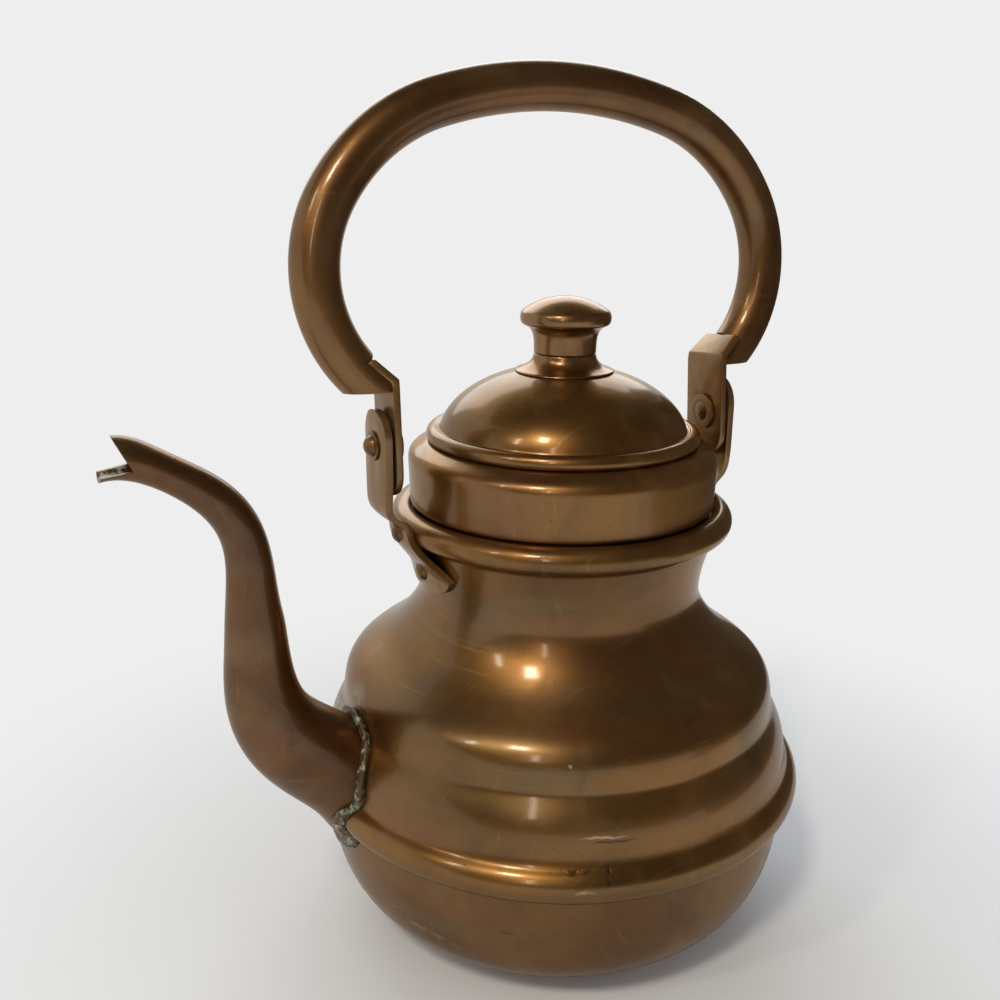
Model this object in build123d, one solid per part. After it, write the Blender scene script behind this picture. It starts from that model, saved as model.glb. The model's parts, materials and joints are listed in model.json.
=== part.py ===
from build123d import *
import os
from math import atan2, cos, degrees, hypot, radians, sin, sqrt, tan

# Copper tea kettle, in millimetres.
# The base stands on z = 0 round the Z axis. The spout points along -X.
# The handle's pivots lie on a line along X.

# Sheet metal, solder and running fits
body_wall = 1.1
lid_wall = 1.0
spout_wall = 1.0
tube_wall = 1.1
solder_gap = 0.05
rivet_gap = 0.05
pivot_play = 0.08
side_play = 0.3
seat_play = 0.25

# Bottom bowl
base_radius = 54.8
bowl_radius = 83.2
bowl_height = 45.0
bowl_spread_width = 10.1
bowl_lift_height = 7.8
bowl_pull_height = 35.3
lap_height = 15.0

# Upper body, from the hem at the lower bead to the neck, each height above the one before
hem_gap_height = 3.5
lower_bead_width = 12.0
lower_bead_depth = 4.0
band_step_height = 3.4
upper_bead_radius = 83.2
upper_bead_width = 14.5
upper_bead_depth = 2.2
upper_bead_top_radius = 78.7
groove_depth = 1.6
groove_width = 2.7
shoulder_pull_height = 13.8
slope_radius = 62.7
slope_rise_height = 21.7
slope_angle = 143.4
slope_pull_length = 13.5
neck_radius = 49.4
neck_rise_height = 19.7
neck_pull_height = 6.8
flare_angle = 69.0
flare_pull_length = 7.4

# Rolled rim and its wire
roll_radius = 54.6
roll_rise_height = 25.1
roll_size = 4.6
roll_slit_width = 0.6
roll_slit_angle = -62.0

# Solder under the hem
seam_solder_width = 0.8
seam_solder_height = 1.1

# Lid
lid_radius = 53.1
lid_foot_width = 0.6
band_height = 15.4
lid_shoulder_width = 2.7
lid_shoulder_height = 4.1
lid_shoulder_pull_height = 2.2
ledge_height = 1.8
ledge_radius = 43.6
collar_clearance = 1.0
collar_depth = 13.2
dome_bead_radius = 46.9
dome_bead_height = 3.9
dome_foot_radius = 46.0
dome_radius = 42.3
dome_lean_width = 2.3
dome_height = 25.0
dome_side_height = 9.9
dome_crown_radius = 25.0

# Knob and the plate that it stands on
plate_radius = 16.8
plate_drop_height = 2.1
plate_lip_height = 0.9
plate_height = 4.3
plate_flare_width = 2.0
plate_flare_height = 3.0
stem_radius = 10.5
stem_height = 6.0
flange_radius = 15.3
flange_height = 11.7
flange_thickness = 4.6
knob_undercut_depth = 0.9
knob_edge_radius = 0.6
knob_height = 18.9
spigot_radius = 3.0
knob_burr_gap = 0.35
knob_burr_radius = 7.0
knob_burr_thickness = 1.0

# Spout: its middle line runs out of the body, up the stem and out to the beak
spout_root_depth = 18.35
spout_root_height = 52.2
spout_root_angle = 40.3
spout_root_length = 40.6
knee_bend_radius = 37.6
knee_angle = 48.0
stem_length = 38.9
crook_bend_radius = 32.2
crook_angle = 53.8
beak_length = 10.8
beak_bend_radius = 26.0
beak_angle = 27.6
beak_end_length = 6.0

# Spout's outer radii along that line, and the mouth between the two lips
root_radius = 19.0
root_flatness = 0.86
knee_radius = 15.4
stem_low_radius = 11.2
crook_radius = 7.2
beak_radius = 5.9
mouth_radius = 6.5
mouth_length = 8.2
mouth_drop_height = 3.1
upper_lip_angle = 116.0
lower_lip_angle = 188.0
spout_fillet = 2.4

# Lugs that carry the handle, and their rivets
lug_thickness = 2.3
lug_edge_width = 0.2
lug_waist_half_width = 7.8
lug_foot_half_width = 16.5
lug_foot_height = 6.5
lug_foot_corner_height = 4.5
lug_foot_corner_width = 2.6
lug_top_height = 2.8
lug_step = 1.0
lug_wrap_angle = -40.0
lug_spread_angle = 60.0
lug_foot_share = 0.1
foot_rivet_share = 0.52
lug_gap = 1.7
rim_rivet_radius = 1.6
foot_rivet_radius = 1.7
rivet_head_radius = 3.3
rivet_head_height = 1.9
rivet_seat_depth = 0.1
rivet_burr_gap = 0.15
rivet_burr_radius = 3.0
rivet_burr_thickness = 0.5

# Handle, its straps and its pivots, with heights counted from the pivots
pivot_rise_height = 29.9
handle_lean_angle = 4.5
handle_height = 109.8
crown_bend_radius = 148.9
crown_angle = 16.7
haunch_bend_radius = 62.7
haunch_angle = 42.3
cheek_bend_radius = 44.2
cheek_angle = 96.0
tube_radius = 7.7
tube_end_height = 17.1
right_strap_x = 60.0
left_strap_x = 62.5
right_strap_half_width = 10.0
left_strap_half_width = 8.6
strap_thickness = 2.5
strap_drop_height = 16.5
strap_bend_height = 21.0
strap_tongue_angle = 42.0
strap_tongue_length = 10.0
braze_height = 4.0
braze_depth = 0.4
pivot_radius = 2.3
pivot_head_radius = 3.5
pivot_head_height = 2.6
pivot_washer_radius = 4.7
pivot_washer_thickness = 0.7
pivot_spacer_radius = 5.5
pivot_burr_radius = 6.3
pivot_burr_thickness = 0.9

# Radii and heights that follow from the sizes above, from the bottom up
hem_radius = bowl_radius + solder_gap + body_wall
hem_z = bowl_height + hem_gap_height
lower_bead_top_z = hem_z + lower_bead_width
lap_top_z = bowl_height + lap_height
upper_bead_z = lower_bead_top_z + band_step_height
upper_bead_top_z = upper_bead_z + upper_bead_width
shoulder_radius = upper_bead_top_radius - groove_depth
shoulder_z = upper_bead_top_z + groove_width
slope_z = shoulder_z + slope_rise_height
neck_z = slope_z + neck_rise_height
roll_z = neck_z + roll_rise_height
rim_bottom_z = roll_z - roll_size
roll_bore = roll_size - body_wall
wire_radius = roll_bore - solder_gap
lid_foot_radius = lid_radius - lid_foot_width
lid_z = roll_z + sqrt((roll_size + seat_play) ** 2 - (roll_radius - lid_foot_radius) ** 2)
ledge_z = lid_z + band_height + lid_shoulder_height + ledge_height
dome_top_z = ledge_z + solder_gap + dome_height
knob_z = dome_top_z + plate_height
knob_burr_z = dome_top_z - lid_wall - knob_burr_gap - knob_burr_thickness
pivot_z = roll_z + pivot_rise_height
strap_bottom_z = pivot_z - strap_drop_height
strap_bend_z = pivot_z + strap_bend_height
tube_end_z = pivot_z + tube_end_height
handle_top_z = pivot_z + handle_height


def moved(points, inset):
    """Control points of a line, moved towards the sheet's inner side."""
    result = []
    last = len(points) - 1
    for index, (r, z) in enumerate(points):
        before = points[max(index - 1, 0)]
        after = points[min(index + 1, last)]
        run = (after[0] - before[0], after[1] - before[1])
        length = hypot(*run)
        result.append((r - inset * run[1] / length, z + inset * run[0] / length))
    return result


def polar(angle, length):
    return length * cos(radians(angle)), length * sin(radians(angle))


def added(point, step, sign=1):
    return point[0] + sign * step[0], point[1] + sign * step[1]


def turned(*edges):
    """Solid of revolution round Z from an outline in radius and height."""
    return revolve(Plane.XZ * make_face(Wire(edges)), Axis.Z)


def turned_band(outer, inner):
    """Ring of sheet between two lines that run the same way."""
    start = Line(inner[0] @ 0, outer[0] @ 0)
    end = Line(outer[-1] @ 1, inner[-1] @ 1)
    return turned(start, *outer, end, *inner)


def bowl_line(inset):
    start = (base_radius, 0)
    lift = (base_radius + bowl_spread_width, bowl_lift_height)
    pull = (bowl_radius, bowl_height - bowl_pull_height)
    end = (bowl_radius, bowl_height)
    points = moved([start, lift, pull, end], inset)
    side = Bezier(*points)
    lap = Line(side @ 1, (bowl_radius - inset, lap_top_z))
    return [side, lap]


def body_line(inset):
    """The upper body's outline from the hem up to the rolled rim."""
    hem = (hem_radius - inset, hem_z)
    bead_middle = hem_z + lower_bead_width / 2
    bead_crest = (hem_radius + lower_bead_depth - inset, bead_middle)
    bead_end = (hem_radius - inset, lower_bead_top_z)
    lower_bead = ThreePointArc(hem, bead_crest, bead_end)
    band_start = (upper_bead_radius - inset, upper_bead_z)
    step = Line(bead_end, band_start)
    band_end = (upper_bead_top_radius - inset, upper_bead_top_z)
    middle_radius = (upper_bead_radius + upper_bead_top_radius) / 2 + upper_bead_depth / 2
    band_middle = (middle_radius - inset, (upper_bead_z + upper_bead_top_z) / 2)
    upper_bead = ThreePointArc(band_start, band_middle, band_end)
    shoulder = (shoulder_radius, shoulder_z)
    groove = Line(band_end, (shoulder_radius - inset, shoulder_z))
    slope = (slope_radius, slope_z)
    slope_before = added(slope, polar(slope_angle, slope_pull_length), -1)
    slope_after = added(slope, polar(slope_angle, neck_pull_height))
    neck = (neck_radius, neck_z)
    neck_before = (neck_radius, neck_z - neck_pull_height)
    neck_after = (neck_radius, neck_z + neck_pull_height)
    mouth = (roll_radius - body_wall / 2, rim_bottom_z + body_wall / 4)
    mouth_before = added(mouth, polar(flare_angle, flare_pull_length), -1)
    shoulder_pulled = (shoulder_radius, shoulder_z + shoulder_pull_height)
    down = Bezier(*moved([shoulder, shoulder_pulled, slope_before, slope], inset))
    into_neck = Bezier(*moved([slope, slope_after, neck_before, neck], inset))
    flare = Bezier(*moved([neck, neck_after, mouth_before, mouth], inset))
    return [lower_bead, step, upper_bead, groove, down, into_neck, flare]


def ring_at(radius, height, size):
    """Round ring of wire."""
    return revolve(Plane.XZ * Pos(radius, height) * Circle(size), Axis.Z)


def body_block(grow):
    """The whole body as one filled solid, grown a little, to cut what lies against it."""
    bowl = bowl_line(-grow)[0]
    upper = body_line(-grow)
    base_edge = bowl @ 0
    corners = [(0, 0), (base_edge.X, base_edge.Y)]
    floor = Line(*corners)
    side = Line(bowl @ 1, (bowl_radius + grow, hem_z))
    hem = Line(side @ 1, upper[0] @ 0)
    top = Line(upper[-1] @ 1, (0, (upper[-1] @ 1).Y))
    axis = Line(top @ 1, (0, 0))
    filled = turned(floor, bowl, side, hem, *upper, top, axis)
    return filled + ring_at(roll_radius, roll_z, roll_size + grow)


def make_bowl():
    outer = bowl_line(0)
    inner_side, inner_lap = bowl_line(body_wall)
    inner_start = (inner_side @ 0).X
    outside = turned(
        Line((0, 0), (base_radius, 0)),
        *outer,
        Line(outer[-1] @ 1, (0, lap_top_z)),
        Line((0, lap_top_z), (0, 0)),
    )
    inside = turned(
        Line((0, body_wall), (inner_start, body_wall)),
        Line((inner_start, body_wall), inner_side @ 0),
        inner_side,
        inner_lap,
        Line(inner_lap @ 1, (0, lap_top_z)),
        Line((0, lap_top_z), (0, body_wall)),
    )
    return outside - inside


def make_seam_solder(spout):
    """Thin fillet in the corner between the bowl and the hem above it, up to the spout's own solder."""
    inner = bowl_radius + solder_gap
    outer = inner + seam_solder_width
    top = hem_z - solder_gap
    low = top - seam_solder_height
    corner = Polyline((inner, low), (outer, top), (inner, top), close=True)
    return turned(*corner.edges()) - spout


def make_body_shell():
    sheet = turned_band(body_line(0), body_line(body_wall))
    section = Circle(roll_size) - Circle(roll_bore)
    slit_place = polar(roll_slit_angle, (roll_size + roll_bore) / 2)
    slit = Pos(*slit_place) * Rot(0, 0, roll_slit_angle) * Rectangle(2 * body_wall, roll_slit_width)
    roll = revolve(Plane.XZ * Pos(roll_radius, roll_z) * (section - slit), Axis.Z)
    return sheet + roll


def spout_path():
    """Middle line of the spout in the XZ plane, from inside the body to the mouth."""
    start = (spout_root_depth - bowl_radius - solder_gap, spout_root_height)
    root = PolarLine(start, spout_root_length, 180 - spout_root_angle)
    knee = JernArc(root @ 1, root % 1, knee_bend_radius, -knee_angle)
    stem = PolarLine(knee @ 1, stem_length, direction=knee % 1)
    crook = JernArc(stem @ 1, stem % 1, crook_bend_radius, crook_angle)
    beak = PolarLine(crook @ 1, beak_length, direction=crook % 1)
    bend = JernArc(beak @ 1, beak % 1, beak_bend_radius, beak_angle)
    end = PolarLine(bend @ 1, beak_end_length, direction=bend % 1)
    return root, knee, stem, crook, beak, bend, end


def spout_solid(grow):
    """The spout's body as lofted sections, larger or smaller by the given amount."""
    root, knee, stem, crook, beak, bend, end = spout_path()
    stem_middle = (stem_low_radius + crook_radius) / 2
    knee_middle = (knee_radius + stem_low_radius) / 2
    crook_middle = (crook_radius + beak_radius) / 2
    root_middle = (root_radius + knee_radius) / 2
    stations = [
        (root, 0, root_radius, root_flatness),
        (root, 0.55, root_middle, root_flatness),
        (knee, 0, knee_radius, (1 + root_flatness) / 2),
        (knee, 0.5, knee_middle, 1),
        (stem, 0, stem_low_radius, 1),
        (stem, 0.5, stem_middle, 1),
        (crook, 0, crook_radius, 1),
        (crook, 0.5, crook_middle, 1),
        (beak, 0, beak_radius, 1),
        (bend, 0.5, beak_radius, 1),
        (end, 1, mouth_radius, 1),
    ]
    sections = []
    for run, part, size, squeeze in stations:
        place = run @ part
        heading = run % part
        plane = Plane((place.X, 0, place.Y), x_dir=(0, 1, 0), z_dir=(heading.X, 0, heading.Y))
        sections.append(plane * Ellipse(size * squeeze + grow, size + grow))
    return loft(sections)


def beak_cut():
    """Wedge that opens the mouth between the upper and the lower lip."""
    end = spout_path()[-1] @ 1
    notch = (end.X + mouth_length, end.Y - mouth_drop_height)
    reach = 8 * mouth_radius
    upper = added(notch, polar(upper_lip_angle, reach))
    lower = added(notch, polar(lower_lip_angle, reach))
    far = (min(upper[0], lower[0]) - reach, notch[1])
    outline = Plane.XZ * make_face(Polyline(notch, upper, far, lower, close=True))
    return extrude(outline, reach, both=True)


def make_spout(outside, bore, block):
    return outside - bore - block - beak_cut()


def make_spout_solder():
    """Fillet of solder in the corner round the spout's root."""
    near_spout = spout_solid(spout_fillet)
    near_body = body_block(spout_fillet)
    ring = (near_spout & near_body) - body_block(solder_gap) - spout_solid(solder_gap)
    front = Pos(-bowl_radius, 0, slope_z / 2) * Box(bowl_radius, 4 * root_radius, slope_z)
    return ring & front


def lug_reach(strap_x):
    """Radius of the lug's inner face outside a strap."""
    return strap_x + strap_thickness + lug_gap


def lug_points(reach):
    """Inner line of a lug's bent sheet, in radius and height, and its heading at the foot."""
    flare = body_line(-solder_gap)[-1]
    foot = flare @ lug_foot_share
    spot = flare @ foot_rivet_share
    roll_face = roll_size + solder_gap
    under_roll = added((roll_radius, roll_z), polar(lug_wrap_angle, roll_face))
    beside_roll = (roll_radius + roll_face, roll_z)
    above_roll = (roll_radius + roll_face + lug_step, roll_z + 4 * lug_step)
    ear = (reach, strap_bottom_z - lug_step)
    points = [(foot.X, foot.Y), (spot.X, spot.Y), under_roll, beside_roll, above_roll, ear]
    heading = flare % lug_foot_share
    return points, [(heading.X, heading.Y), (0, 1)]


def facing_out(radius, height, tilt=0):
    """Place on the -X side whose own Z axis points away from the kettle."""
    return Pos(-radius, 0, height) * Rot(0, -90 - tilt, 0)


def pin(start, end, radius):
    """Round pin between two heights on its own axis."""
    return Pos(0, 0, (start + end) / 2) * Cylinder(radius, end - start)


def washer(start, thickness, radius, bore):
    return pin(start, start + thickness, radius) - pin(start - thickness, start + 2 * thickness, bore)


def domed_head(radius, rise):
    """Domed rivet head that stands on its own XY plane."""
    ball_radius = (radius ** 2 + rise ** 2) / (2 * rise)
    ball = Pos(0, 0, rise - ball_radius) * Sphere(ball_radius)
    return ball & Pos(0, 0, rise) * Box(4 * radius, 4 * radius, 2 * rise)


def lug_outline(half_width):
    """Front outline of a lug in Y and Z."""
    round_centre = pivot_z + lug_top_height
    diagonal = polar(45, half_width)
    side_top = (half_width, round_centre)
    side_bottom = (half_width, pivot_z - half_width)
    waist = (lug_waist_half_width, roll_z)
    foot_z = neck_z + lug_foot_height
    corner = (lug_foot_half_width, foot_z + lug_foot_corner_height)
    corner_end = (lug_foot_half_width - lug_foot_corner_width, foot_z + lug_foot_corner_width / 2)
    top = ThreePointArc((0, round_centre + half_width), (diagonal[0], round_centre + diagonal[1]), side_top)
    side = Line(side_top, side_bottom)
    sweep_out = Spline(side_bottom, waist, corner, tangents=[(0, -1), (1, -1)])
    foot = ThreePointArc(corner, corner_end, (0, foot_z))
    middle = Line((0, foot_z), (0, round_centre + half_width))
    half = make_face(Wire([top, side, sweep_out, foot, middle]))
    return half + mirror(half, Plane.YZ)


def make_lug(block, strap_x, strap_half_width):
    """Bent ear on the -X side, curved round the neck and stepping out over the rim."""
    half_width = strap_half_width + lug_edge_width
    reach = lug_reach(strap_x)
    points, headings = lug_points(reach)
    inner = Spline(*points, tangents=headings)
    outer_points = moved(points, -lug_thickness)[:-1] + [added(points[-1], (lug_thickness, 0))]
    outer = Spline(*outer_points, tangents=headings)
    top = pivot_z + 3 * half_width
    foot = Line(inner @ 0, outer @ 0)
    outside = Line(outer @ 1, ((outer @ 1).X, top))
    inside = Line((reach, top), inner @ 1)
    head = Line(outside @ 1, inside @ 0)
    section = Plane.XZ * make_face(Wire([foot, outer, outside, head, inside, inner]))
    bent = Rot(0, 0, 180 - lug_spread_angle / 2) * revolve(section, Axis.Z, lug_spread_angle)
    prism = extrude(Plane.YZ * lug_outline(half_width), -2 * reach)
    pivot_hole = facing_out(reach, pivot_z) * pin(-lug_thickness, 2 * lug_thickness, pivot_radius + rivet_gap)
    return (bent & prism) - block - lug_rivet_holes() - pivot_hole


def lug_rivet_places():
    """Each lug rivet's place on the lug, its shank radius and the distance to its washer inside."""
    through = lug_thickness + solder_gap - rivet_seat_depth
    upper_place = facing_out(roll_radius + roll_size + through, roll_z)
    flare = body_line(0)[-1]
    spot = flare @ foot_rivet_share
    heading = flare % foot_rivet_share
    tilt = degrees(atan2(heading.X, heading.Y))
    lower_place = facing_out(spot.X, spot.Y, tilt) * Pos(0, 0, through)
    upper = (upper_place, rim_rivet_radius, through + 2 * roll_size + rivet_burr_gap)
    lower = (lower_place, foot_rivet_radius, through + body_wall + rivet_burr_gap)
    return [upper, lower]


def both_sides(solids):
    return Compound(children=[*solids, *[mirror(solid, Plane.YZ) for solid in solids]])


def lug_rivet_holes():
    """What the left lug's rivets take out of the sheets, with flat seats for their heads and washers."""
    room = []
    for place, radius, depth in lug_rivet_places():
        inside = -depth - rivet_burr_thickness - solder_gap
        room.append(place * pin(inside, 0, radius + rivet_gap))
        room.append(place * pin(0, lug_thickness, rivet_head_radius + rivet_gap))
        room.append(place * pin(inside, solder_gap - depth, rivet_burr_radius + rivet_gap))
    return room[0] + room[1:]


def make_lug_rivets():
    rivets = []
    for place, radius, depth in lug_rivet_places():
        shank = pin(-depth - rivet_burr_thickness, 0, radius)
        rivets.append(place * (shank + domed_head(rivet_head_radius, rivet_head_height)))
    return both_sides(rivets)


def make_lug_burrs():
    burrs = []
    for place, radius, depth in lug_rivet_places():
        start = -depth - rivet_burr_thickness
        burrs.append(place * washer(start, rivet_burr_thickness, rivet_burr_radius, radius + rivet_gap))
    return both_sides(burrs)


def both_ends(make):
    """A pair of the same piece, the left-hand one as made and the right-hand one mirrored."""
    return Compound(children=[make(left_strap_x), mirror(make(right_strap_x), Plane.YZ)])


def make_pivot_rivet(strap_x):
    place = facing_out(strap_x, pivot_z)
    head_base = lug_reach(strap_x) + lug_thickness + solder_gap + pivot_washer_thickness - strap_x
    tail = -side_play - pivot_burr_thickness
    shank = pin(tail, head_base, pivot_radius)
    head = Pos(0, 0, head_base) * domed_head(pivot_head_radius, pivot_head_height)
    peened = Pos(0, 0, tail) * Rot(180, 0, 0) * domed_head(pivot_head_radius, pivot_burr_thickness)
    return place * (shank + head + peened)


def make_pivot_washer(strap_x):
    place = facing_out(lug_reach(strap_x) + lug_thickness + solder_gap, pivot_z)
    return place * washer(0, pivot_washer_thickness, pivot_washer_radius, pivot_radius + rivet_gap)


def make_pivot_spacer(strap_x):
    """Washer that keeps the strap off the lug's curved inner face."""
    start = strap_thickness + side_play
    lug_face = sqrt(lug_reach(strap_x) ** 2 - pivot_spacer_radius ** 2) - solder_gap - strap_x
    ring = washer(start, lug_face - start, pivot_spacer_radius, pivot_radius + rivet_gap)
    return facing_out(strap_x, pivot_z) * ring


def make_pivot_burr(strap_x):
    start = -side_play - pivot_burr_thickness
    ring = washer(start, pivot_burr_thickness, pivot_burr_radius, pivot_radius + rivet_gap)
    return facing_out(strap_x, pivot_z) * ring


def leaned(solid):
    """Turn a piece of the upright handle back to where the handle rests."""
    return Pos(0, 0, pivot_z) * Rot(-handle_lean_angle, 0, 0) * Pos(0, 0, -pivot_z) * solid


def bail_solid(radius):
    """Right half of the handle's arch as a filled rod of three tangent arcs."""
    crown = JernArc((0, handle_top_z), (1, 0), crown_bend_radius, -crown_angle)
    haunch = JernArc(crown @ 1, crown % 1, haunch_bend_radius, -haunch_angle)
    cheek = JernArc(haunch @ 1, haunch % 1, cheek_bend_radius, -cheek_angle)
    path = Plane.XZ * Wire([crown, haunch, cheek])
    return sweep(Plane((0, 0, handle_top_z), z_dir=(1, 0, 0)) * Circle(radius), path)


def strap_profile(strap_x, gap):
    """Side outline of a strap: upright, then bent out under the tube's end."""
    inner = strap_x - gap
    outer = strap_x + strap_thickness + gap
    bend_back = (strap_thickness + 2 * gap) * tan(radians((90 - strap_tongue_angle) / 2))
    tongue = polar(strap_tongue_angle, strap_tongue_length + gap)
    corner = (inner, strap_bend_z)
    outer_corner = (outer, strap_bend_z - bend_back)
    return corner, outer_corner, added(corner, tongue), added(outer_corner, tongue)


def make_strap(strap_x, half_width):
    """Flat strap of the right-hand handle end, round at the bottom, with the pivot's hole."""
    corner, outer_corner, tip, outer_tip = strap_profile(strap_x, 0)
    bottom = [(corner[0], strap_bottom_z), (outer_corner[0], strap_bottom_z)]
    outline = Polyline(bottom[0], corner, tip, outer_tip, outer_corner, bottom[1], close=True)
    bar = extrude(Plane.XZ * make_face(outline), half_width, both=True)
    round_centre = strap_bottom_z + half_width
    shoulder = strap_bend_z - strap_thickness
    top = tip[1] + strap_thickness
    front = Polyline(
        (half_width, round_centre),
        (half_width, shoulder),
        (tube_radius, top),
        (-tube_radius, top),
        (-half_width, shoulder),
        (-half_width, round_centre),
    )
    end = ThreePointArc((-half_width, round_centre), (0, strap_bottom_z), (half_width, round_centre))
    prism = extrude(Plane.YZ * make_face(Wire([*front.edges(), end])), outer_tip[0] + half_width)
    hole = Pos(strap_x, 0, pivot_z) * Rot(0, 90, 0) * Cylinder(pivot_radius + pivot_play, 4 * strap_thickness)
    return (bar & prism) - hole


def tube_trim(strap_x):
    """What is cut off the arch's end: the seat of the strap and all below the end's flat cut."""
    corner, outer_corner, tip, outer_tip = strap_profile(strap_x, solder_gap)
    far = strap_x - 4 * tube_radius
    seat = Polyline(
        (far, strap_bottom_z),
        (outer_corner[0], strap_bottom_z),
        outer_corner,
        outer_tip,
        tip,
        (far, tip[1] + 6 * tube_radius),
        close=True,
    )
    depth = 8 * tube_radius
    cut = extrude(Plane.XZ * make_face(seat), depth / 2, both=True)
    below = Pos(strap_x, 0, tube_end_z - depth / 2) * Box(depth, depth, depth)
    return cut + below


def make_handle_tube():
    half = bail_solid(tube_radius) - bail_solid(tube_radius - tube_wall)
    return (half - tube_trim(right_strap_x)) + mirror(half - tube_trim(left_strap_x), Plane.YZ)


def make_braze(strap_x):
    """Brazing inside the tube's right-hand end, against the strap."""
    bore = bail_solid(tube_radius - tube_wall - solder_gap) - tube_trim(strap_x)
    place = (strap_x + strap_thickness + braze_height / 2, 0, tube_end_z + braze_depth + braze_height / 2)
    return bore & Pos(*place) * Box(braze_height, 2 * tube_radius, braze_height)


def make_braze_pair():
    left = mirror(leaned(make_braze(left_strap_x)), Plane.YZ)
    return Compound(children=[left, leaned(make_braze(right_strap_x))])


def band_line(inset):
    """Lid band from its foot, up the side and over the shoulder to the ledge."""
    foot = (lid_foot_radius, lid_z)
    band_top = (lid_radius, lid_z + band_height)
    shoulder_end = (lid_radius - lid_shoulder_width, lid_z + band_height + lid_shoulder_height)
    pulled_up = (lid_radius, band_top[1] + lid_shoulder_pull_height)
    pulled_out = (shoulder_end[0] + lid_shoulder_width / 2, shoulder_end[1] - lid_shoulder_width / 5)
    side = Line((foot[0] - inset, foot[1]), (band_top[0] - inset, band_top[1]))
    turn_in = Bezier(*moved([band_top, pulled_up, pulled_out, shoulder_end], inset))
    ledge = Line(turn_in @ 1, (dome_bead_radius, ledge_z - inset))
    shelf = Line(ledge @ 1, (ledge_radius, ledge_z - inset))
    return [side, turn_in, ledge, shelf]


def dome_line(inset):
    """Dome from its bead up to the crown on the axis."""
    foot_height = ledge_z + solder_gap
    foot = (dome_foot_radius - inset, foot_height)
    crest = (dome_bead_radius - inset, foot_height + dome_bead_height / 2)
    top = foot_height + dome_height
    start = (dome_radius, foot_height + dome_bead_height)
    pulled_up = (dome_radius - dome_lean_width, start[1] + dome_side_height)
    bead = ThreePointArc(foot, crest, moved([start, pulled_up], inset)[0])
    crown = (0, top - inset)
    side = Bezier(bead @ 1, moved([start, pulled_up], inset)[1], (dome_crown_radius, top - inset), crown)
    return [bead, side]


def dome_block(grow):
    bead, side = dome_line(-grow)
    foot = bead @ 0
    floor = Line((0, foot.Y), foot)
    axis = Line(side @ 1, (0, foot.Y))
    return turned(floor, bead, side, axis)


def make_lid_dome():
    spigot_hole = Pos(0, 0, dome_top_z) * Cylinder(spigot_radius + rivet_gap, dome_height)
    return turned_band(dome_line(0), dome_line(lid_wall)) - spigot_hole


def make_lid_band():
    return turned_band(band_line(0), band_line(lid_wall))


def make_lid_collar():
    """Sleeve that drops into the neck, with a flange soldered inside the band's foot."""
    outer = roll_radius - roll_size - collar_clearance
    inner = outer - lid_wall
    flange = lid_foot_radius - lid_wall - solder_gap
    top = lid_z + lid_wall
    sleeve = Pos(0, 0, (top + lid_z - collar_depth) / 2) * Cylinder(outer, collar_depth + lid_wall)
    plate = Pos(0, 0, lid_z + lid_wall / 2) * Cylinder(flange, lid_wall)
    return sleeve + plate - Pos(0, 0, lid_z) * Cylinder(inner, 4 * collar_depth)


def make_knob_base():
    """Flared plate between the dome and the knob."""
    foot = dome_top_z - plate_drop_height
    lip = foot + plate_lip_height
    top = dome_top_z + plate_height
    edge = Line((plate_radius, foot), (plate_radius, lip))
    pulled_in = (stem_radius + plate_flare_width, lip + plate_flare_height / 3)
    pulled_down = (stem_radius, lip + plate_flare_height)
    flare = Bezier((plate_radius, lip), pulled_in, pulled_down, (stem_radius, top))
    outline = [
        edge,
        flare,
        Line(flare @ 1, (spigot_radius + rivet_gap, top)),
        Line((spigot_radius + rivet_gap, top), (spigot_radius + rivet_gap, foot)),
        Line((spigot_radius + rivet_gap, foot), (plate_radius, foot)),
    ]
    return turned(*outline) - dome_block(solder_gap)


def make_knob():
    """Turned knob with the spigot that is riveted inside the dome."""
    base = dome_top_z + plate_height
    low = base + flange_height - flange_thickness / 2
    high = low + flange_thickness
    stem = Bezier(
        (stem_radius, base),
        (stem_radius, base + stem_height),
        (flange_radius - flange_thickness, low - knob_undercut_depth),
        (flange_radius - knob_edge_radius, low + knob_edge_radius / 2),
    )
    rim = ThreePointArc(stem @ 1, (flange_radius, base + flange_height), (flange_radius - knob_edge_radius, high))
    crown_rise = base + knob_height - high
    crown_radius_here = ((rim @ 1).X ** 2 + crown_rise ** 2) / (2 * crown_rise)
    half_x = (rim @ 1).X / 2
    half_drop = crown_radius_here - sqrt(crown_radius_here ** 2 - half_x ** 2)
    cap = ThreePointArc(rim @ 1, (half_x, base + knob_height - half_drop), (0, base + knob_height))
    floor = Line((0, base), (stem_radius, base))
    axis = Line((0, base + knob_height), (0, base))
    tail = knob_burr_z - solder_gap
    spigot = pin(tail, base + solder_gap, spigot_radius)
    return turned(floor, stem, rim, cap, axis) + spigot


def make_knob_burr():
    return washer(knob_burr_z, knob_burr_thickness, knob_burr_radius, spigot_radius + rivet_gap)


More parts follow.
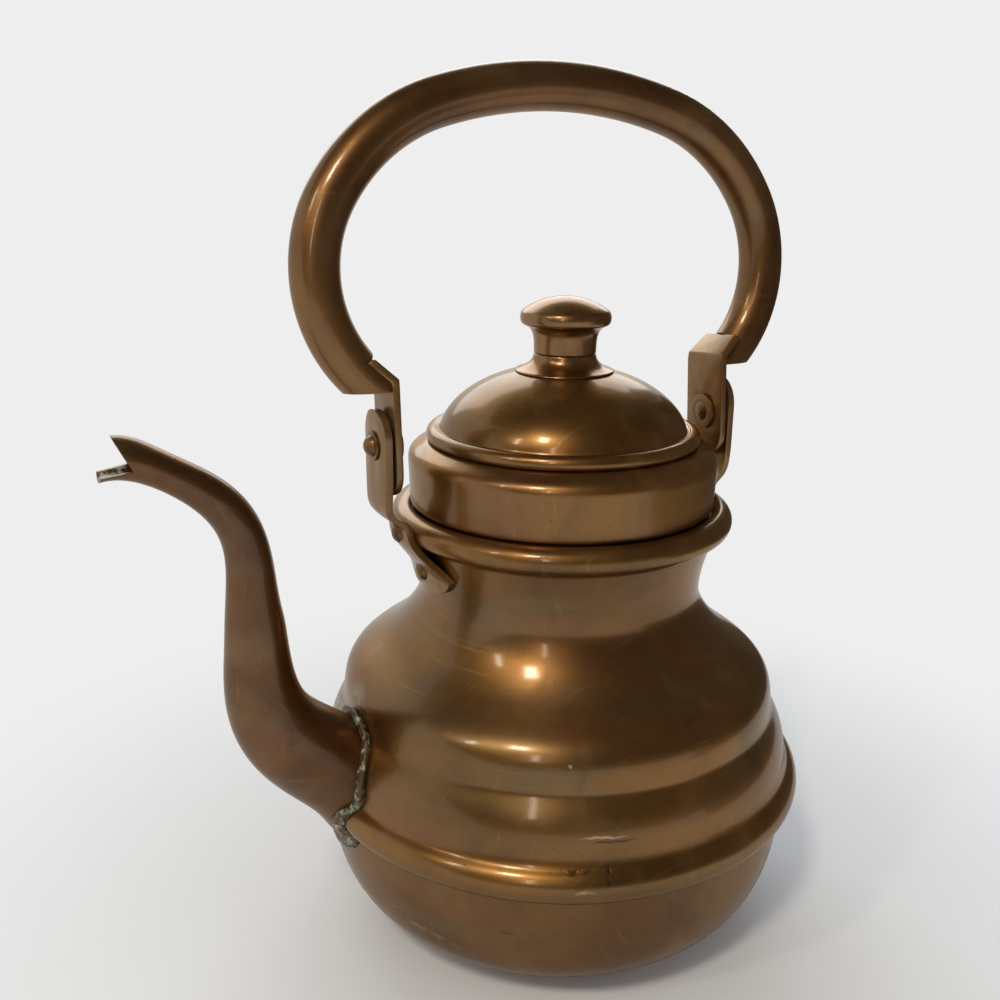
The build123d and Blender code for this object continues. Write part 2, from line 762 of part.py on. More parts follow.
def main():
    block = body_block(solder_gap)
    outside = spout_solid(0)
    bore = spout_solid(-spout_wall)
    holes = lug_rivet_holes() + mirror(lug_rivet_holes(), Plane.YZ)
    wall_hole = bore & Pos(-bowl_radius, 0, roll_z / 2) * Box(bowl_radius, bowl_radius, roll_z)
    pieces = {
        "body_shell": make_body_shell() - wall_hole - holes,
        "bottom_bowl": make_bowl() - wall_hole,
        "seam_solder": make_seam_solder(spout_solid(spout_fillet + solder_gap)),
        "rim_wire": ring_at(roll_radius, roll_z, wire_radius) - holes,
        "spout": make_spout(outside, bore, block),
        "spout_solder": make_spout_solder(),
        "lug_left": make_lug(block, left_strap_x, left_strap_half_width),
        "lug_right": mirror(make_lug(block, right_strap_x, right_strap_half_width), Plane.YZ),
        "lug_rivets": make_lug_rivets(),
        "lug_burrs": make_lug_burrs(),
        "pivot_rivets": both_ends(make_pivot_rivet),
        "pivot_washers": both_ends(make_pivot_washer),
        "pivot_spacers": both_ends(make_pivot_spacer),
        "pivot_burrs": both_ends(make_pivot_burr),
        "handle_tube": leaned(make_handle_tube()),
        "strap_right": leaned(make_strap(right_strap_x, right_strap_half_width)),
        "strap_left": leaned(mirror(make_strap(left_strap_x, left_strap_half_width), Plane.YZ)),
        "strap_braze": make_braze_pair(),
        "lid_dome": make_lid_dome(),
        "lid_band": make_lid_band(),
        "lid_collar": make_lid_collar(),
        "knob_base": make_knob_base(),
        "knob": make_knob(),
        "knob_burr": make_knob_burr(),
    }
    os.makedirs("parts", exist_ok=True)
    for name, solid in pieces.items():
        export_step(solid, f"parts/{name}.step")


main()
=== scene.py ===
import json
import math

import bmesh
import bpy
from mathutils import Matrix, Vector, noise

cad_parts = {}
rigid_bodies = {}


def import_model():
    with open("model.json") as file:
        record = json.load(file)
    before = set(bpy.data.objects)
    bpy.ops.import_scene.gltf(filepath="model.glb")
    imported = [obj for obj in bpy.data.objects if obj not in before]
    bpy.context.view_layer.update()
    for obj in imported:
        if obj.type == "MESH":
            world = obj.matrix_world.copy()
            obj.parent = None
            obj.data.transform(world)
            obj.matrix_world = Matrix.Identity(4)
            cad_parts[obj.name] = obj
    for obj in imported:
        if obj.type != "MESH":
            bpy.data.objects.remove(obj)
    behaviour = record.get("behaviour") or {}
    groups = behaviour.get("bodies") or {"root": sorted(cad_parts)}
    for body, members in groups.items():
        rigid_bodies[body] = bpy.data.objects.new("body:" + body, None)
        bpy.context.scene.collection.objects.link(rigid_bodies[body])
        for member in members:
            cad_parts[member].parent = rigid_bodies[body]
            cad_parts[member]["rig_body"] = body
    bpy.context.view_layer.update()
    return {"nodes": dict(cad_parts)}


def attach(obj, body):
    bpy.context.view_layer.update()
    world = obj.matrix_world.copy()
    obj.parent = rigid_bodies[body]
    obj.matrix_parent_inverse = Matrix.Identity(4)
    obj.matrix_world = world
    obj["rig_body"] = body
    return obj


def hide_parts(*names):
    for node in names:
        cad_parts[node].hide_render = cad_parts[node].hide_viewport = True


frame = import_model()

# Looks of a copper tea kettle, in metres, in the same place as its solids.

MM = 0.001
TURN_STEPS = 240
OUTLINE_STEP = 0.7 * MM
SECTION_ANGLE = math.radians(90)

# Where the camera stands and how it looks, worked out from the picture's ellipses
CAMERA_PLACE = (-0.1859, -0.3093, 0.2583)
CAMERA_HEADING = math.radians(27.635)
CAMERA_DOWN = math.radians(16.648)
CAMERA_ROLL = math.radians(0.671)
CAMERA_LENS = 38.66

# The spout's mouth: the end of its middle line, and how far along X and Z that line runs there
MOUTH = (-0.1506, 0, 0.1818)
MOUTH_ALONG = (0.9925, 0.122)

# The spout's root: where its line starts, how it rises, its hole in the sheet, and what it covers of the hem
SPOUT_START = (-0.0649, 0, 0.0522)
SPOUT_RISE = math.radians(40.3)
SPOUT_HOLE_RADIUS = 14.5 * MM
ROOT_FRONT = -81 * MM
ROOT_HALF_WIDTH = 18 * MM

# The studio: the background's grey, where the table starts and ends to melt into it, the cloth and the screen
BACKGROUND = (0.855, 0.855, 0.855)
GROUND_NEAR = 0.10
GROUND_FAR = 0.30
WORLD_LEVEL = 0.42
CLOTH_RADIUS = 2.6
CLOTH_HALF_ANGLE = math.radians(86)
CLOTH_HEIGHT_ANGLE = math.radians(46)
CLOTH_TURN = math.radians(45)
SCREEN_RADIUS = 0.42
SCREEN_HEIGHT = 0.45
SCREEN_SPAN = (math.radians(-155), math.radians(-62))


# ---------------------------------------------------------------- shapes


def linked(name, mesh):
    piece = bpy.data.objects.new(name, mesh)
    bpy.context.scene.collection.objects.link(piece)
    return piece


def finished(name, shape, node, material, sharp=50):
    """Turns a bmesh into a piece that takes the place of a CAD node."""
    mesh = bpy.data.meshes.new(name)
    bmesh.ops.recalc_face_normals(shape, faces=shape.faces)
    shape.to_mesh(mesh)
    shape.free()
    mesh.shade_smooth()
    mesh.set_sharp_from_angle(angle=math.radians(sharp))
    piece = linked(name, mesh)
    mesh.materials.append(material)
    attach(piece, frame["nodes"][node]["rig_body"])
    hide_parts(node)
    return piece


def section_of(node):
    """A turned piece's outline as ordered (radius, height) points, and whether it is a closed ring."""
    across = Vector((-math.sin(SECTION_ANGLE), math.cos(SECTION_ANGLE), 0))
    outward = Vector((math.cos(SECTION_ANGLE), math.sin(SECTION_ANGLE), 0))
    shape = bmesh.new()
    shape.from_mesh(frame["nodes"][node].data)
    bmesh.ops.remove_doubles(shape, verts=shape.verts, dist=1e-6)
    for normal, both in ((across, True), (outward, False)):
        everything = list(shape.verts) + list(shape.edges) + list(shape.faces)
        bmesh.ops.bisect_plane(
            shape, geom=everything, dist=1e-7, plane_co=(0, 0, 0), plane_no=normal,
            clear_inner=True, clear_outer=both,
        )
    bmesh.ops.remove_doubles(shape, verts=shape.verts, dist=1e-5)
    chains = []
    waiting = set(shape.verts)
    ends = [v for v in shape.verts if len(v.link_edges) == 1]
    for start in ends + list(shape.verts):
        if start not in waiting or not start.link_edges:
            continue
        chain = [start]
        waiting.discard(start)
        while True:
            steps = [e.other_vert(chain[-1]) for e in chain[-1].link_edges]
            steps = [v for v in steps if v in waiting]
            if not steps:
                break
            chain.append(steps[0])
            waiting.discard(steps[0])
        chains.append([(v.co.dot(outward), v.co.z) for v in chain])
    shape.free()
    longest = max(chains, key=run_of)
    closed = not ends
    return longest, closed


def run_of(points):
    return sum(math.dist(a, b) for a, b in zip(points, points[1:]))


def evenly(points, closed, step):
    """The same line with points at even steps."""
    line = points + points[:1] if closed else points
    total = run_of(line)
    count = max(8, round(total / step))
    result = []
    travelled = 0
    index = 0
    for number in range(count if closed else count + 1):
        goal = total * number / count
        while index < len(line) - 2 and travelled + math.dist(line[index], line[index + 1]) < goal:
            travelled += math.dist(line[index], line[index + 1])
            index += 1
        length = math.dist(line[index], line[index + 1]) or 1
        part = min(1, (goal - travelled) / length)
        result.append(tuple(a + (b - a) * part for a, b in zip(line[index], line[index + 1])))
    return result


def softened(points, closed, rounds):
    """Rounds the line's corners a little, as worked metal has them."""
    for _ in range(rounds):
        result = []
        last = len(points) - 1
        for i, point in enumerate(points):
            if not closed and i in (0, last):
                result.append(point)
                continue
            before = points[i - 1]
            after = points[(i + 1) % len(points)]
            result.append(tuple(0.25 * a + 0.5 * b + 0.25 * c for a, b, c in zip(before, point, after)))
        points = result
    return points


def hand_work(place, depth):
    """How far the hammer left the surface below true, never above."""
    slow = noise.noise(place * 22)
    quick = noise.noise(place * 70 + Vector((5, 3, 1)))
    return depth * (0.5 + 0.35 * slow + 0.15 * quick)


def turned(name, node, material, rounds=3, depth=0.0, keep=None, step=OUTLINE_STEP):
    """Rebuilds a turned CAD piece as a smooth surface with softened corners and hand-worked unevenness."""
    outline, closed = section_of(node)
    outline = softened(evenly(outline, closed, step), closed, rounds)
    shape = bmesh.new()
    rings = []
    for radius, height in outline:
        ring = []
        for number in range(TURN_STEPS):
            angle = 2 * math.pi * number / TURN_STEPS
            place = Vector((math.cos(angle), math.sin(angle), 0))
            flat = Vector((0, 0, height))
            low = hand_work(place * radius + flat, depth) if depth and radius > 4 * MM else 0
            ring.append(shape.verts.new(place * max(0, radius - low) + flat))
        rings.append(ring)
    last = len(rings) if closed else len(rings) - 1
    for i in range(last):
        lower = rings[i]
        upper = rings[(i + 1) % len(rings)]
        for n in range(TURN_STEPS):
            m = (n + 1) % TURN_STEPS
            corners = (lower[n], lower[m], upper[m], upper[n])
            middle = sum((v.co for v in corners), Vector()) / 4
            if keep is None or keep(middle):
                shape.faces.new(corners)
    bmesh.ops.remove_doubles(shape, verts=shape.verts, dist=1e-6)
    bmesh.ops.delete(shape, geom=[v for v in shape.verts if not v.link_faces], context="VERTS")
    return finished(name, shape, node, material)


def eased(name, node, material, edge=0.25 * MM, sharp=35, depth=0.0):
    """A CAD piece with its hard edges eased, as a file leaves them."""
    shape = bmesh.new()
    shape.from_mesh(frame["nodes"][node].data)
    bmesh.ops.remove_doubles(shape, verts=shape.verts, dist=2e-6)
    if edge:
        limit = math.radians(sharp)
        hard = [e for e in shape.edges if len(e.link_faces) == 2 and e.calc_face_angle(0) > limit]
        bmesh.ops.bevel(
            shape, geom=hard, offset=edge, segments=2, profile=0.6, affect="EDGES", clamp_overlap=True
        )
    if depth:
        shape.normal_update()
        for v in shape.verts:
            v.co -= v.normal * hand_work(v.co, depth)
    return finished(name, shape, node, material, sharp=sharp)


# ---------------------------------------------------------------- materials


class Value:
    """A number in a material that can be reckoned with like a plain one."""

    def __init__(self, paint, socket):
        self.paint = paint
        self.socket = socket

    def reckon(self, operation, *values):
        node = self.paint.tree.nodes.new("ShaderNodeMath")
        node.operation = operation
        for slot, value in zip(node.inputs, values):
            self.paint.feed(slot, value)
        return Value(self.paint, node.outputs[0])

    def __add__(self, other):
        return self.reckon("ADD", self, other)

    __radd__ = __add__

    def __mul__(self, other):
        return self.reckon("MULTIPLY", self, other)

    __rmul__ = __mul__

    def __sub__(self, other):
        return self.reckon("SUBTRACT", self, other)

    def __rsub__(self, other):
        return self.reckon("SUBTRACT", other, self)

    def __truediv__(self, other):
        return self.reckon("DIVIDE", self, other)

    def __pow__(self, other):
        return self.reckon("POWER", self, other)

    def __abs__(self):
        return self.reckon("ABSOLUTE", self)

    def most(self, other):
        return self.reckon("MAXIMUM", self, other)

    def least(self, other):
        return self.reckon("MINIMUM", self, other)

    def between(self, low, high):
        """0 below low, 1 above high, with a soft turn between."""
        node = self.paint.tree.nodes.new("ShaderNodeMapRange")
        node.interpolation_type = "SMOOTHSTEP"
        self.paint.feed(node.inputs["Value"], self)
        self.paint.feed(node.inputs["From Min"], low)
        self.paint.feed(node.inputs["From Max"], high)
        return Value(self.paint, node.outputs[0])


class Paint:
    """A material whose colour, gloss and relief are built up in layers."""

    def __init__(self, name):
        self.material = bpy.data.materials.new(name)
        self.material.use_nodes = True
        self.tree = self.material.node_tree
        self.shader = self.tree.nodes["Principled BSDF"]
        self.place = self.add("ShaderNodeTexCoord").outputs["Object"]
        apart = self.add("ShaderNodeSeparateXYZ", inputs={"Vector": self.place})
        self.x, self.y, self.z = (Value(self, out) for out in apart.outputs)

    def add(self, kind, settings=None, inputs=None):
        node = self.tree.nodes.new(kind)
        for key, value in (settings or {}).items():
            setattr(node, key, value)
        for key, value in (inputs or {}).items():
            self.feed(node.inputs[key], value)
        return node

    def feed(self, slot, value):
        if isinstance(value, Value):
            value = value.socket
        if isinstance(value, bpy.types.NodeSocket):
            self.tree.links.new(value, slot)
        else:
            slot.default_value = value

    def stretched(self, x, y, z, turn=0.0):
        scales = {"Vector": self.place, "Scale": (x, y, z), "Rotation": (turn, turn, 0)}
        return self.add("ShaderNodeMapping", inputs=scales).outputs[0]

    def cloud(self, size, detail=4.0, roughness=0.55, place=None, warp=0.0):
        """Cloudy pattern from 0 to 1 whose patches are about this many metres across."""
        inputs = {"Vector": place or self.place, "Scale": 1 / size, "Detail": detail}
        inputs.update({"Roughness": roughness, "Distortion": warp})
        node = self.add("ShaderNodeTexNoise", inputs=inputs)
        return Value(self, node.outputs[0])

    def cells(self, size, feature="F1", place=None):
        node = self.add(
            "ShaderNodeTexVoronoi", {"feature": feature}, {"Vector": place or self.place, "Scale": 1 / size}
        )
        return Value(self, node.outputs["Distance"])

    def near(self, spot, inner, outer):
        """1 inside the inner distance from a spot and 0 beyond the outer one."""
        away = self.add("ShaderNodeVectorMath", {"operation": "DISTANCE"}, {0: self.place, 1: tuple(spot)})
        return 1 - Value(self, away.outputs["Value"]).between(inner, outer)

    def mixed(self, share, low, high):
        node = self.add("ShaderNodeMix", {"data_type": "RGBA"})
        self.feed(node.inputs[0], share)
        self.feed(node.inputs[6], low if not isinstance(low, tuple) else (*low, 1))
        self.feed(node.inputs[7], high if not isinstance(high, tuple) else (*high, 1))
        return node.outputs[2]

    def finish(self, colour, gloss, metal, relief, height):
        """Feeds the layers to the surface. Relief is in shares of the given height in metres."""
        bump = self.add("ShaderNodeBump", inputs={"Height": relief, "Distance": height, "Strength": 1.0})
        self.feed(self.shader.inputs["Base Color"], colour)
        self.feed(self.shader.inputs["Roughness"], gloss)
        self.feed(self.shader.inputs["Metallic"], metal)
        self.feed(self.shader.inputs["Normal"], bump.outputs[0])
        return self.material


GOLD = (0.245, 0.119, 0.029)
OLIVE = (0.145, 0.076, 0.022)
BROWN = (0.130, 0.060, 0.019)
ROSE = (0.205, 0.092, 0.036)
AMBER = (0.215, 0.108, 0.034)
MAUVE = (0.150, 0.078, 0.045)
TAN = (0.285, 0.165, 0.065)
DARK = (0.030, 0.014, 0.007)
PALE = (0.42, 0.27, 0.13)
BARE = (0.62, 0.42, 0.26)
SPOUT_LIGHT = (0.190, 0.085, 0.030)
SPOUT_DEEP = (0.112, 0.052, 0.017)
KNOB_LIGHT = (0.255, 0.125, 0.046)
GREEN = (0.17, 0.21, 0.14)
PALE_GREEN = (0.45, 0.48, 0.38)
# Pale colour of the painted sheen bands on the copper
PAINTED_SHEEN = (0.165, 0.128, 0.066)
EDGE_TINT = (0.70, 0.61, 0.50, 1)


def aged_copper(
    name, light, deep, blush, blush_share, rough=0.30, dark_share=0.5, verdigris=None, scale=1.0, marks=None
):
    """Copper with years of patina: cloudy colour, rosy bands, pale bands of painted sheen, a dark film,
    specks and hairlines.
    """
    paint = Paint(name)
    clouds = paint.cloud(0.050 * scale, 3.0, 0.5, warp=0.4)
    mottle = paint.cloud(0.007 * scale, 4.0, 0.6)
    bands = paint.cloud(0.021 * scale, 3.0, 0.5, paint.stretched(0.22, 0.22, 1), 0.5)
    colour = paint.mixed(clouds.between(0.34, 0.66), deep, light)
    colour = paint.mixed(bands.between(0.45, 0.68) * blush_share, colour, blush)
    # Pale horizontal bands of painted sheen, mixed into the colour
    sheen_bands = paint.cloud(0.016, 3.0, 0.5, paint.stretched(0.16, 0.16, 1), 0.4).between(0.50, 0.66)
    colour = paint.mixed(sheen_bands * 0.35, colour, PAINTED_SHEEN)
    film = paint.cloud(0.024 * scale, 5.0, 0.62, paint.stretched(1, 1, 0.6), 0.8).between(0.46, 0.74)
    colour = paint.mixed(film * 0.55 * dark_share, colour, DARK)
    colour = paint.mixed(mottle.between(0.5, 0.75) * 0.16, colour, DARK)
    specks = (0.13 - paint.cells(0.0036)).between(0.0, 0.08) * paint.cloud(0.016, 2.0).between(0.5, 0.62)
    colour = paint.mixed(specks * dark_share, colour, DARK)
    wiped = paint.cloud(0.0011, 2.0, 0.5, paint.stretched(0.035, 0.035, 1)).between(0.60, 0.72)
    rubbed = paint.cloud(0.0010, 2.0, 0.5, paint.stretched(0.04, 1, 0.05, 0.6)).between(0.63, 0.72)
    worn = paint.cloud(0.03, 2.0, 0.5).between(0.48, 0.64)
    hairlines = (wiped * worn + rubbed * (1 - worn) * 0.7).least(1.0)
    colour = paint.mixed(hairlines * 0.16, colour, PALE)
    gloss = rough + clouds * 0.08 + film * 0.10 + mottle * 0.05 + hairlines * 0.05
    metal = 0.93 - film * 0.22 - specks * 0.4
    relief = mottle * 0.30 + hairlines * 0.10 - specks * 0.5 + paint.cells(0.012, "SMOOTH_F1") * 0.4
    if marks:
        pale, dark = marks(paint)
        colour = paint.mixed(dark, colour, DARK)
        colour = paint.mixed(pale, colour, BARE)
        relief = relief - dark * 1.2 - pale * 0.8
    if verdigris:
        bloom = verdigris(paint) * paint.cloud(0.0035, 5.0, 0.7).between(0.44, 0.56)
        colour = paint.mixed(bloom, colour, paint.mixed(mottle, GREEN, PALE_GREEN))
        gloss = gloss + bloom * 0.4
        metal = metal * (1 - bloom)
        relief = relief + bloom * 1.5
    paint.shader.inputs["Specular Tint"].default_value = EDGE_TINT
    paint.shader.inputs["Coat Weight"].default_value = 0.45
    paint.shader.inputs["Coat Roughness"].default_value = 0.12
    return paint.finish(colour, gloss.least(1.0), metal, relief, 0.00010)


def old_solder(name):
    """Dull soft solder, browned like the copper, with a thin broken crust of verdigris."""
    paint = Paint(name)
    lumps = paint.cloud(0.0022, 5.0, 0.7)
    crust = paint.cloud(0.0030, 5.0, 0.72, warp=0.5).between(0.50, 0.60)
    brown = paint.mixed(lumps, (0.060, 0.034, 0.016), (0.19, 0.120, 0.06))
    green = paint.mixed(lumps.between(0.4, 0.6), GREEN, PALE_GREEN)
    colour = paint.mixed(crust, brown, green)
    return paint.finish(colour, 0.50 + crust * 0.45, 0.75 - crust * 0.75, lumps * 1.2 + crust * 0.8, 0.00022)


def iron_wire(name):
    paint = Paint(name)
    rust = paint.cloud(0.003, 4.0)
    colour = paint.mixed(rust.between(0.45, 0.6), (0.12, 0.11, 0.10), (0.16, 0.07, 0.03))
    return paint.finish(colour, 0.5 + rust * 0.3, 0.8 - rust * 0.3, rust, 0.0001)


def white_for_view(tree, add, near, far_share):
    """Joins a lit shader with plain background white for the rays that look at the background."""
    path = add("ShaderNodeLightPath").outputs
    seen = path["Is Camera Ray"]
    for other in ("Is Glossy Ray", "Is Transmission Ray"):
        seen = add("ShaderNodeMath", {"operation": "MAXIMUM"}, {0: seen, 1: path[other]}).outputs[0]
    if far_share is not None:
        seen = add("ShaderNodeMath", {"operation": "MULTIPLY"}, {0: seen, 1: far_share}).outputs[0]
    kind = "ShaderNodeEmission" if far_share is not None else "ShaderNodeBackground"
    white = add(kind, inputs={"Color": (*BACKGROUND, 1)}).outputs[0]
    return add("ShaderNodeMixShader", inputs={0: seen, 1: near, 2: white}).outputs[0]


def pale_ground(name):
    """A pale table that melts into the background away from the kettle."""
    paint = Paint(name)
    grain = paint.cloud(0.02, 2.0)
    colour = paint.mixed(grain, (0.80, 0.80, 0.795), (0.82, 0.82, 0.815))
    paint.finish(colour, 0.9 - grain * 0.02, 0.0, grain, 0.00001)
    paint.shader.inputs["Specular IOR Level"].default_value = 0.1
    far = 1 - paint.near((0, 0, 0), GROUND_NEAR, GROUND_FAR)
    mixed = white_for_view(paint.tree, paint.add, paint.shader.outputs[0], far.socket)
    paint.tree.links.new(mixed, paint.tree.nodes["Material Output"].inputs[0])
    return paint.material


def dark_cloth(name):
    paint = Paint(name)
    weave = paint.cloud(0.5, 2.0)
    colour = paint.mixed(weave, (0.14, 0.115, 0.09), (0.20, 0.165, 0.135))
    paint.shader.inputs["Specular IOR Level"].default_value = 0.0
    return paint.finish(colour, 0.95 - weave * 0.02, 0.0, weave, 0.00001)


def round_spout_root(paint):
    """A patch above the root, and a thin line that hugs the solder."""
    patch = paint.near((-0.0745, 0.026, 0.078), 0.004, 0.012)
    above = paint.near((-0.0785, 0.004, 0.0885), 0.003, 0.010)
    return patch.most(above * 0.7) * 0.6


def inside_mouth(paint):
    """The lining of the beak, behind the two lips."""
    off_line = (paint.z - MOUTH[2]) * MOUTH_ALONG[0] + (paint.x - MOUTH[0]) * MOUTH_ALONG[1]
    away = (off_line * off_line + paint.y * paint.y) ** 0.5
    return (1 - away.between(0.0052, 0.0056)) * (1 - paint.x.between(-0.1445, -0.1415))


def stroke(paint, spot, reach, tall, slant=0.0):
    """A soft tapered stroke on a turned surface, which wanders along the turning and fades in places."""
    heading = math.atan2(spot[1], spot[0])
    aside = (paint.x - spot[0]) * -math.sin(heading) + (paint.y - spot[1]) * math.cos(heading)
    wander = (paint.cloud(0.006, 2.0) - 0.5) * tall * 4
    rise = paint.z - spot[2] - aside * slant + wander
    along = aside / reach
    across = rise / tall
    faded = paint.cloud(0.004, 3.0, 0.6).between(0.36, 0.58)
    facing = (paint.x * math.cos(heading) + paint.y * math.sin(heading)).between(0.0, 0.001)
    return (1 - (along * along + across * across).between(0.1, 1.0)) * faded * facing


def body_marks(paint):
    pale = stroke(paint, (-0.0283, -0.0772, 0.0698), 0.0085, 0.0006) * 0.7
    pale = pale.most(stroke(paint, (-0.0361, -0.0805, 0.0552), 0.0040, 0.0007) * 0.6)
    pale = pale.most(paint.near((-0.0347, -0.0676, 0.0904), 0.0003, 0.0008) * 0.8)
    dark = stroke(paint, (-0.0378, -0.0756, 0.0604), 0.0075, 0.0007)
    dark = dark.most(stroke(paint, (-0.0283, -0.0813, 0.0595), 0.0010, 0.0028))
    dark = dark.most(stroke(paint, (-0.0250, -0.0780, 0.0686), 0.0080, 0.0005))
    return pale, dark * 0.7


def bowl_marks(paint):
    pale = stroke(paint, (-0.0708, -0.0386, 0.0258), 0.0190, 0.0016, -0.25) * 0.22
    dark = stroke(paint, (-0.0500, -0.0600, 0.0350), 0.0040, 0.0006)
    return pale, dark * 0.4


# ---------------------------------------------------------------- the kettle


def inside_spout(place):
    """Whether a place on the body lies inside the spout's root."""
    along = Vector((-math.cos(SPOUT_RISE), 0, math.sin(SPOUT_RISE)))
    away = place - Vector(SPOUT_START)
    across = away - along * away.dot(along)
    return away.dot(along) > 0 and across.length < SPOUT_HOLE_RADIUS


def solid(place):
    return not inside_spout(place)


def clear_of_root(place):
    """Whether the hem's solder shows here, away from the spout's root."""
    return place.x > ROOT_FRONT or abs(place.y) > ROOT_HALF_WIDTH


def make_kettle():
    body = aged_copper(
        "body_copper", GOLD, OLIVE, ROSE, 0.6, 0.30, verdigris=round_spout_root, marks=body_marks
    )
    bowl = aged_copper("bowl_copper", AMBER, BROWN, ROSE, 0.6, 0.32, marks=bowl_marks)
    spout = aged_copper(
        "spout_copper", SPOUT_LIGHT, SPOUT_DEEP, MAUVE, 0.35, 0.36, 0.8, verdigris=inside_mouth
    )
    fittings = aged_copper("fittings_copper", TAN, AMBER, ROSE, 0.3, 0.38, scale=0.5)
    rivets = aged_copper("rivet_copper", AMBER, BROWN, ROSE, 0.3, 0.38, scale=0.3)
    solder = old_solder("solder_green")
    wire = iron_wire("iron_wire")
    turned("upper_body", "body_shell", body, 3, 0.22 * MM, solid)
    turned("bowl", "bottom_bowl", bowl, 3, 0.25 * MM, solid)
    turned("hem_solder", "seam_solder", solder, 1, keep=clear_of_root, step=0.3 * MM)
    turned("wire_in_rim", "rim_wire", wire, 0, step=1.0 * MM)
    eased("swan_neck_spout", "spout", spout, 0.15 * MM, 40)
    eased("root_solder", "spout_solder", solder, 0, 60)
    for side in ("left", "right"):
        eased(f"{side}_lug", f"lug_{side}", fittings, 0.35 * MM)
    for node in ("lug_rivets", "lug_burrs", "pivot_rivets", "pivot_washers", "pivot_spacers", "pivot_burrs"):
        eased(f"{node}_worn", node, fittings if node == "pivot_burrs" else rivets, 0.12 * MM)


def make_handle():
    tube = aged_copper("handle_copper", AMBER, BROWN, ROSE, 0.5, 0.33)
    straps = aged_copper("strap_copper", TAN, AMBER, ROSE, 0.4, 0.38, scale=0.5)
    braze = old_solder("braze_green")
    eased("bail_tube", "handle_tube", tube, 0.2 * MM, 40)
    for side in ("left", "right"):
        eased(f"{side}_strap", f"strap_{side}", straps, 0.7 * MM)
    eased("braze", "strap_braze", braze, 0)


def make_lid():
    dome = aged_copper("dome_copper", GOLD, OLIVE, ROSE, 0.4, 0.28)
    band = aged_copper("band_copper", GOLD, AMBER, ROSE, 0.7, 0.3)
    knob = aged_copper("knob_copper", KNOB_LIGHT, AMBER, ROSE, 0.5, 0.24, scale=0.4)
    rivets = aged_copper("lid_rivet_copper", GOLD, BROWN, ROSE, 0.3, 0.36, scale=0.3)
    turned("dome", "lid_dome", dome, 2, 0.12 * MM, step=0.5 * MM)
    turned("band", "lid_band", band, 3, 0.15 * MM, step=0.5 * MM)
    turned("collar", "lid_collar", band, 1, step=0.5 * MM)
    turned("knob_turned", "knob", knob, 2, step=0.4 * MM)
    turned("knob_flare", "knob_base", knob, 1, step=0.4 * MM)
    turned("knob_burr_worn", "knob_burr", rivets, 1, step=0.3 * MM)


# ---------------------------------------------------------------- the studio


def make_ground():
    shape = bmesh.new()
    bmesh.ops.create_circle(shape, cap_ends=True, segments=96, radius=6)
    mesh = bpy.data.meshes.new("ground")
    shape.to_mesh(mesh)
    shape.free()
    ground = linked("ground", mesh)
    mesh.materials.append(pale_ground("pale_ground"))


def make_light(name, heading, height, distance, width, tall, power, colour):
    """Soft box that looks at the kettle. Its heading is counted leftwards from the camera's."""
    turn = CAMERA_HEADING + math.radians(heading)
    up = math.radians(height)
    target = Vector((0, 0, 0.13))
    way = Vector((-math.sin(turn) * math.cos(up), -math.cos(turn) * math.cos(up), math.sin(up)))
    lamp = bpy.data.lights.new(name, "AREA")
    lamp.shape = "RECTANGLE"
    lamp.size = width
    lamp.size_y = tall
    lamp.energy = power
    lamp.color = colour
    holder = linked(name, lamp)
    holder.location = target + way * distance
    holder.rotation_euler = way.to_track_quat("Z", "Y").to_euler()


def make_cloth():
    """A dark cloth hung above and behind the camera, which the copper mirrors. It isn't seen itself."""
    shape = bmesh.new()
    bmesh.ops.create_uvsphere(shape, u_segments=72, v_segments=48, radius=CLOTH_RADIUS)
    outside = [v for v in shape.verts if v.co.z < CLOTH_RADIUS * math.cos(CLOTH_HALF_ANGLE)]
    bmesh.ops.delete(shape, geom=outside, context="VERTS")
    mesh = bpy.data.meshes.new("dark_cloth")
    shape.to_mesh(mesh)
    shape.free()
    cloth = linked("dark_cloth", mesh)
    mesh.materials.append(dark_cloth("dark_cloth"))
    tilt = Matrix.Rotation(math.pi / 2 - CLOTH_HEIGHT_ANGLE, 4, "X")
    cloth.matrix_world = Matrix.Rotation(CLOTH_TURN - CAMERA_HEADING, 4, "Z") @ tilt
    only_mirrored(cloth)


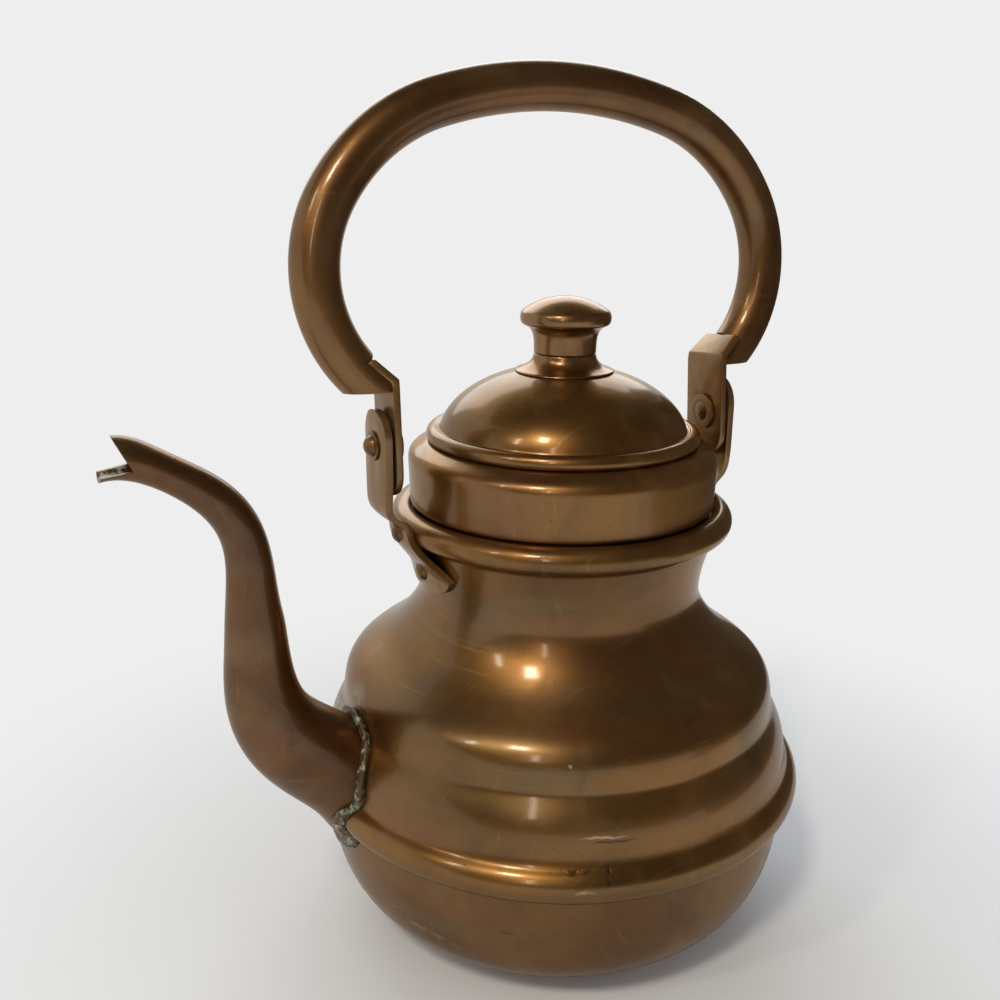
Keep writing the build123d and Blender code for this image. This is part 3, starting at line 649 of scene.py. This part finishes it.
def make_screen():
    """A low dark screen on the kettle's right, which keeps that side from mirroring the bright table."""
    shape = bmesh.new()
    bmesh.ops.create_cone(
        shape, segments=144, radius1=SCREEN_RADIUS, radius2=SCREEN_RADIUS, depth=SCREEN_HEIGHT, cap_ends=False
    )
    first, last = SCREEN_SPAN
    middle = (first + last) / 2 + CAMERA_HEADING
    toward = Vector((-math.sin(middle), -math.cos(middle), 0))
    limit = math.cos((last - first) / 2) * SCREEN_RADIUS
    bmesh.ops.delete(shape, geom=[v for v in shape.verts if v.co.dot(toward) < limit], context="VERTS")
    mesh = bpy.data.meshes.new("dark_screen")
    shape.to_mesh(mesh)
    shape.free()
    screen = linked("dark_screen", mesh)
    mesh.materials.append(dark_cloth("dark_screen"))
    screen.location = (0, 0, SCREEN_HEIGHT / 2)
    only_mirrored(screen)


def only_mirrored(prop):
    """A prop of the studio that the metal mirrors, and that neither the camera nor the light meets."""
    prop.visible_camera = False
    prop.visible_diffuse = False
    prop.visible_shadow = False


def make_world():
    world = bpy.data.worlds.new("studio")
    bpy.context.scene.world = world
    world.use_nodes = True
    tree = world.node_tree
    tree.nodes.clear()

    def add(kind, settings=None, inputs=None):
        node = tree.nodes.new(kind)
        for key, value in (settings or {}).items():
            setattr(node, key, value)
        for key, value in (inputs or {}).items():
            if isinstance(value, bpy.types.NodeSocket):
                tree.links.new(value, node.inputs[key])
            else:
                node.inputs[key].default_value = value
        return node

    level = {"Color": (0.93, 0.95, 1.0, 1), "Strength": WORLD_LEVEL}
    room = add("ShaderNodeBackground", inputs=level).outputs[0]
    out = add("ShaderNodeOutputWorld")
    tree.links.new(white_for_view(tree, add, room, None), out.inputs[0])


def make_camera():
    data = bpy.data.cameras.new("camera")
    data.lens = CAMERA_LENS
    data.sensor_width = 36
    data.clip_start = 0.01
    camera = linked("camera", data)
    aim = Matrix.Rotation(-CAMERA_HEADING, 4, "Z") @ Matrix.Rotation(math.pi / 2 - CAMERA_DOWN, 4, "X")
    camera.matrix_world = Matrix.Translation(CAMERA_PLACE) @ aim @ Matrix.Rotation(CAMERA_ROLL, 4, "Z")
    bpy.context.scene.camera = camera


make_kettle()
make_handle()
make_lid()
make_ground()
make_cloth()
make_screen()
make_light("window_front", 24, 48, 1.6, 0.20, 0.24, 8, (1.0, 0.93, 0.80))
make_light("window_left", 50, 38, 1.7, 0.10, 0.30, 2.5, (1.0, 0.92, 0.82))
make_light("low_window", 12, 24, 1.7, 0.07, 0.6, 2.4, (1.0, 0.86, 0.74))
make_light("sky_behind", 172, 30, 1.8, 2.0, 1.0, 18, (0.84, 0.92, 1.0))
make_world()
make_camera()
bpy.context.scene.view_settings.view_transform = "Standard"
